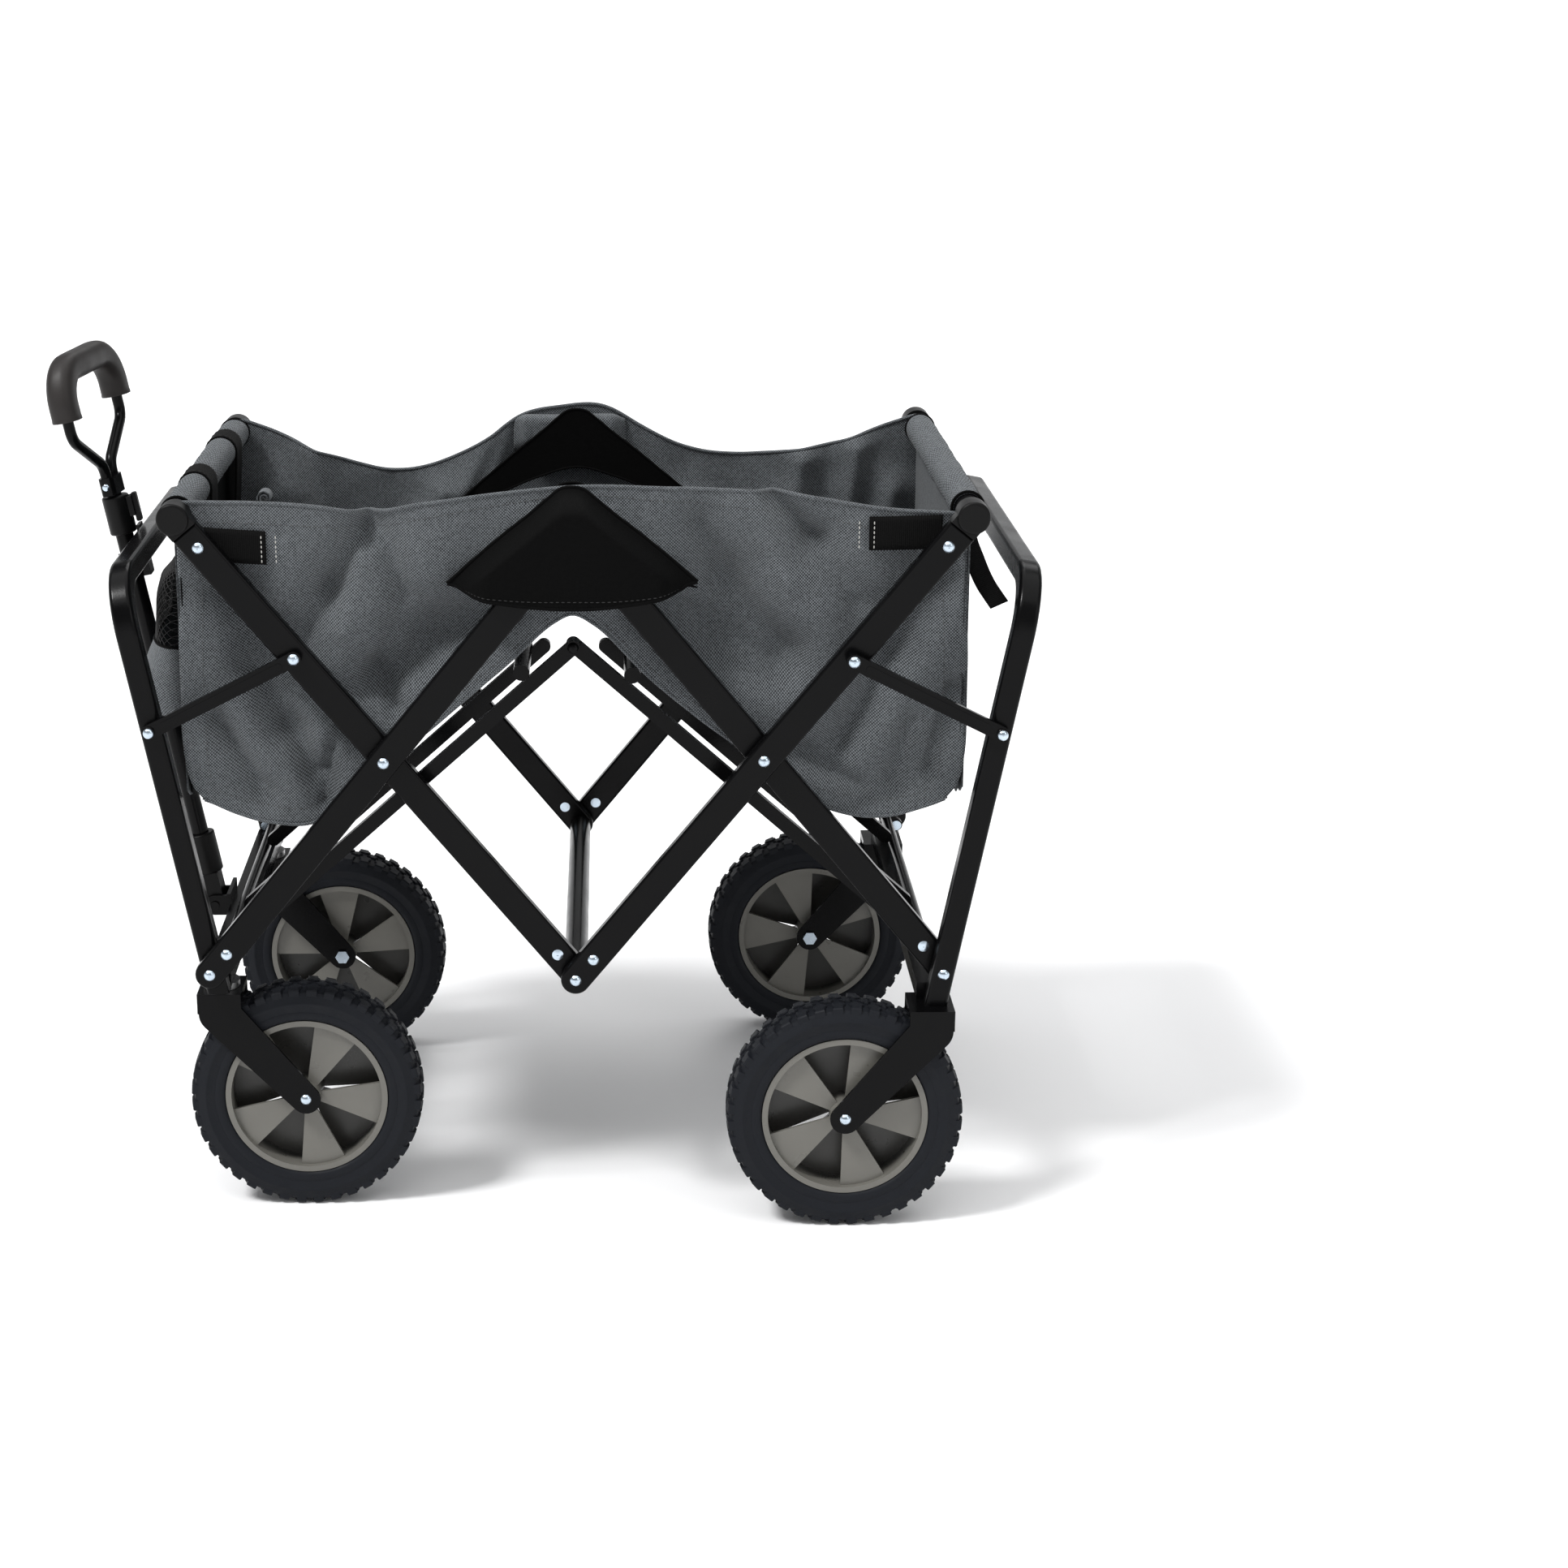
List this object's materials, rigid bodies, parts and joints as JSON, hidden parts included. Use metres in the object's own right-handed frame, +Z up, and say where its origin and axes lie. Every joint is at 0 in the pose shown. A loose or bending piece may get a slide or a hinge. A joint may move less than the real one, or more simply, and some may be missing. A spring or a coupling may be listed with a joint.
{
  "type": "folding utility wagon with pull handle",
  "caption": "Folding cloth-sided wagon on a black scissor frame, with swivel front wheels and a telescoping pull handle, shown half open.",
  "frame": {"origin": "on the floor under the middle of the part's bounding box", "axes": "+X points to the rear, away from the pull handle; +Y to the far side; +Z up"},
  "size_m": [0.8424, 0.5084, 0.7322],
  "materials": {
    "frame_paint": "glossy black powder coat",
    "bright_rivet": "zinc plated, domed",
    "rim_plastic": "warm dark grey moulded nylon",
    "tyre_rubber": "matt black rubber",
    "black_plastic": "black moulded plastic",
    "grip_plastic": "dark grey soft moulding",
    "tub_fabric": "dark grey two-tone basket weave",
    "black_fabric": "black woven polyester",
    "zinc_steel": "plated steel"
  },
  "bodies": {
    "centre_base": {"bottom_cross_tube": "frame_paint", "centre_pivot_pins": "bright_rivet"},
    "front_rail_arms": {"near_front_rail_arm": "frame_paint", "far_front_rail_arm": "frame_paint", "front_corner_caps": "black_plastic", "front_rail": "frame_paint", "front_rail_sleeve": "tub_fabric", "front_rail_arm_rivets": "bright_rivet"},
    "rear_rail_arms": {"near_rear_rail_arm": "frame_paint", "far_rear_rail_arm": "frame_paint", "rear_corner_caps": "black_plastic", "rear_rail": "frame_paint", "rear_rail_sleeve": "tub_fabric", "rear_rail_arm_rivets": "bright_rivet"},
    "front_cross_arms": {"near_front_cross_arm": "frame_paint", "far_front_cross_arm": "frame_paint", "front_cross_arm_rivets": "bright_rivet"},
    "rear_cross_arms": {"near_rear_cross_arm": "frame_paint", "far_rear_cross_arm": "frame_paint", "rear_cross_arm_rivets": "bright_rivet"},
    "top_centre": {"top_centre_brackets": "black_plastic", "side_flaps": "black_fabric", "near_side_panel": "tub_fabric", "far_side_panel": "tub_fabric", "tub_floor_cloth": "tub_fabric"},
    "front_frame": {"front_leg_frame": "frame_paint", "caster_bearings": "zinc_steel", "handle_bracket": "frame_paint", "handle_clip": "black_plastic"},
    "rear_frame": {"rear_leg_frame": "frame_paint", "rear_forks": "frame_paint", "rear_axles": "bright_rivet"},
    "front_strut_pair": {"front_struts": "frame_paint"},
    "rear_strut_pair": {"rear_struts": "frame_paint"},
    "front_floor": {"front_floor_frame": "frame_paint", "front_floor_pad": "black_fabric"},
    "rear_floor": {"rear_floor_frame": "frame_paint", "rear_floor_pad": "black_fabric"},
    "front_panel": {"front_end_panel": "tub_fabric", "front_pocket": "black_fabric"},
    "rear_panel": {"rear_end_panel": "tub_fabric"},
    "near_caster": {"near_caster_fork": "frame_paint", "near_caster_axle": "bright_rivet"},
    "far_caster": {"far_caster_fork": "frame_paint", "far_caster_axle": "bright_rivet"},
    "near_front_wheel": {"near_front_tyre": "tyre_rubber", "near_front_rim": "rim_plastic"},
    "far_front_wheel": {"far_front_tyre": "tyre_rubber", "far_front_rim": "rim_plastic"},
    "near_rear_wheel": {"near_rear_tyre": "tyre_rubber", "near_rear_rim": "rim_plastic"},
    "far_rear_wheel": {"far_rear_tyre": "tyre_rubber", "far_rear_rim": "rim_plastic"},
    "handle": {"handle_foot": "black_plastic", "handle_tube": "frame_paint", "lock_collar": "black_plastic"},
    "handle_grip": {"grip_frame": "frame_paint", "grip": "grip_plastic"},
    "lock_lever": {"lock_lever": "black_plastic"}
  },
  "joints": [
    {"name": "fold", "type": "hinge", "parent": "centre_base", "child": "front_rail_arms", "pos_m": [0.03372, 0, 0.2222], "axis": [0, 1, 0], "range_deg": [0, 26.5]},
    {"name": "rear_fold", "type": "hinge", "parent": "centre_base", "child": "rear_rail_arms", "pos_m": [0.03372, 0, 0.2222], "axis": [0, -1, 0], "range_deg": [0, 26.55]},
    {"name": "front_scissor", "type": "hinge", "parent": "front_rail_arms", "child": "front_cross_arms", "pos_m": [-0.12462, 0, 0.41566], "axis": [0, -1, 0], "range_deg": [0, 53.05]},
    {"name": "rear_scissor", "type": "hinge", "parent": "rear_rail_arms", "child": "rear_cross_arms", "pos_m": [0.19207, 0, 0.41566], "axis": [0, 1, 0], "range_deg": [0, 53.05]},
    {"name": "top_centre_level", "type": "hinge", "parent": "front_cross_arms", "child": "top_centre", "pos_m": [0.03372, 0, 0.60912], "axis": [0, 1, 0], "range_deg": [0, 26.55], "deforming": ["near_side_panel", "far_side_panel", "tub_floor_cloth", "side_flaps"]},
    {"name": "front_frame_lean", "type": "hinge", "parent": "front_cross_arms", "child": "front_frame", "pos_m": [-0.2779, 0, 0.22839], "axis": [0, 1, 0], "range_deg": [0, 32.39]},
    {"name": "rear_frame_lean", "type": "hinge", "parent": "rear_cross_arms", "child": "rear_frame", "pos_m": [0.34534, 0, 0.22839], "axis": [0, -1, 0], "range_deg": [0, 32.39]},
    {"name": "front_strut_swing", "type": "hinge", "parent": "front_rail_arms", "child": "front_strut_pair", "pos_m": [-0.19683, 0, 0.50388], "axis": [0, -1, 0], "range_deg": [0, 70.94]},
    {"name": "rear_strut_swing", "type": "hinge", "parent": "rear_rail_arms", "child": "rear_strut_pair", "pos_m": [0.26427, 0, 0.50388], "axis": [0, 1, 0], "range_deg": [0, 70.94]},
    {"name": "front_floor_fold", "type": "hinge", "parent": "front_cross_arms", "child": "front_floor", "pos_m": [-0.2779, 0, 0.22839], "axis": [0, -1, 0], "range_deg": [0, 6.67]},
    {"name": "rear_floor_fold", "type": "hinge", "parent": "rear_cross_arms", "child": "rear_floor", "pos_m": [0.34534, 0, 0.22839], "axis": [0, 1, 0], "range_deg": [0, 6.67]},
    {"name": "front_panel_hang", "type": "hinge", "parent": "front_rail_arms", "child": "front_panel", "pos_m": [-0.29215, 0, 0.62034], "axis": [0, -1, 0], "range_deg": [0, 26.55], "deforming": ["front_pocket"]},
    {"name": "rear_panel_hang", "type": "hinge", "parent": "rear_rail_arms", "child": "rear_panel", "pos_m": [0.35959, 0, 0.62034], "axis": [0, 1, 0], "range_deg": [0, 26.55]},
    {"name": "near_caster_swivel", "type": "hinge", "parent": "front_frame", "child": "near_caster", "pos_m": [-0.27528, -0.18, 0.2], "axis": [0, 0, 1], "continuous": true},
    {"name": "far_caster_swivel", "type": "hinge", "parent": "front_frame", "child": "far_caster", "pos_m": [-0.27528, 0.18, 0.2], "axis": [0, 0, 1], "continuous": true},
    {"name": "near_front_wheel_spin", "type": "hinge", "parent": "near_caster", "child": "near_front_wheel", "pos_m": [-0.20328, -0.18, 0.1016], "axis": [0, 1, 0], "continuous": true},
    {"name": "far_front_wheel_spin", "type": "hinge", "parent": "far_caster", "child": "far_front_wheel", "pos_m": [-0.20328, 0.18, 0.1016], "axis": [0, 1, 0], "continuous": true},
    {"name": "near_rear_wheel_spin", "type": "hinge", "parent": "rear_frame", "child": "near_rear_wheel", "pos_m": [0.26372, -0.228, 0.1016], "axis": [0, 1, 0], "continuous": true},
    {"name": "far_rear_wheel_spin", "type": "hinge", "parent": "rear_frame", "child": "far_rear_wheel", "pos_m": [0.26372, 0.228, 0.1016], "axis": [0, 1, 0], "continuous": true},
    {"name": "handle_tilt", "type": "hinge", "parent": "front_frame", "child": "handle", "pos_m": [-0.30229, 0, 0.21601], "axis": [0, -1, 0], "range_deg": [0, 65]},
    {"name": "handle_extend", "type": "slide", "parent": "handle", "child": "handle_grip", "axis": [-0.1908, 0, 0.9816], "range_m": [0, 0.17]},
    {"name": "lock_lever_press", "type": "hinge", "parent": "handle", "child": "lock_lever", "pos_m": [-0.36035, 0, 0.59591], "axis": [0, 1, 0], "range_deg": [0, 8], "stiffness_Nm_per_rad": 0.15}
  ],
  "couplings": [
    {"joint": "rear_fold", "follows": "fold", "ratio": 1},
    {"joint": "front_scissor", "follows": "fold", "ratio": 2},
    {"joint": "rear_scissor", "follows": "fold", "ratio": 2},
    {"joint": "top_centre_level", "follows": "fold", "ratio": 1},
    {"joint": "front_frame_lean", "follows": "fold", "ratio": 1.2205},
    {"joint": "rear_frame_lean", "follows": "fold", "ratio": 1.2205},
    {"joint": "front_strut_swing", "follows": "fold", "ratio": 2.675},
    {"joint": "rear_strut_swing", "follows": "fold", "ratio": 2.675},
    {"joint": "front_floor_fold", "follows": "fold", "ratio": 0.25},
    {"joint": "rear_floor_fold", "follows": "fold", "ratio": 0.25},
    {"joint": "front_panel_hang", "follows": "fold", "ratio": 1},
    {"joint": "rear_panel_hang", "follows": "fold", "ratio": 1}
  ]
}
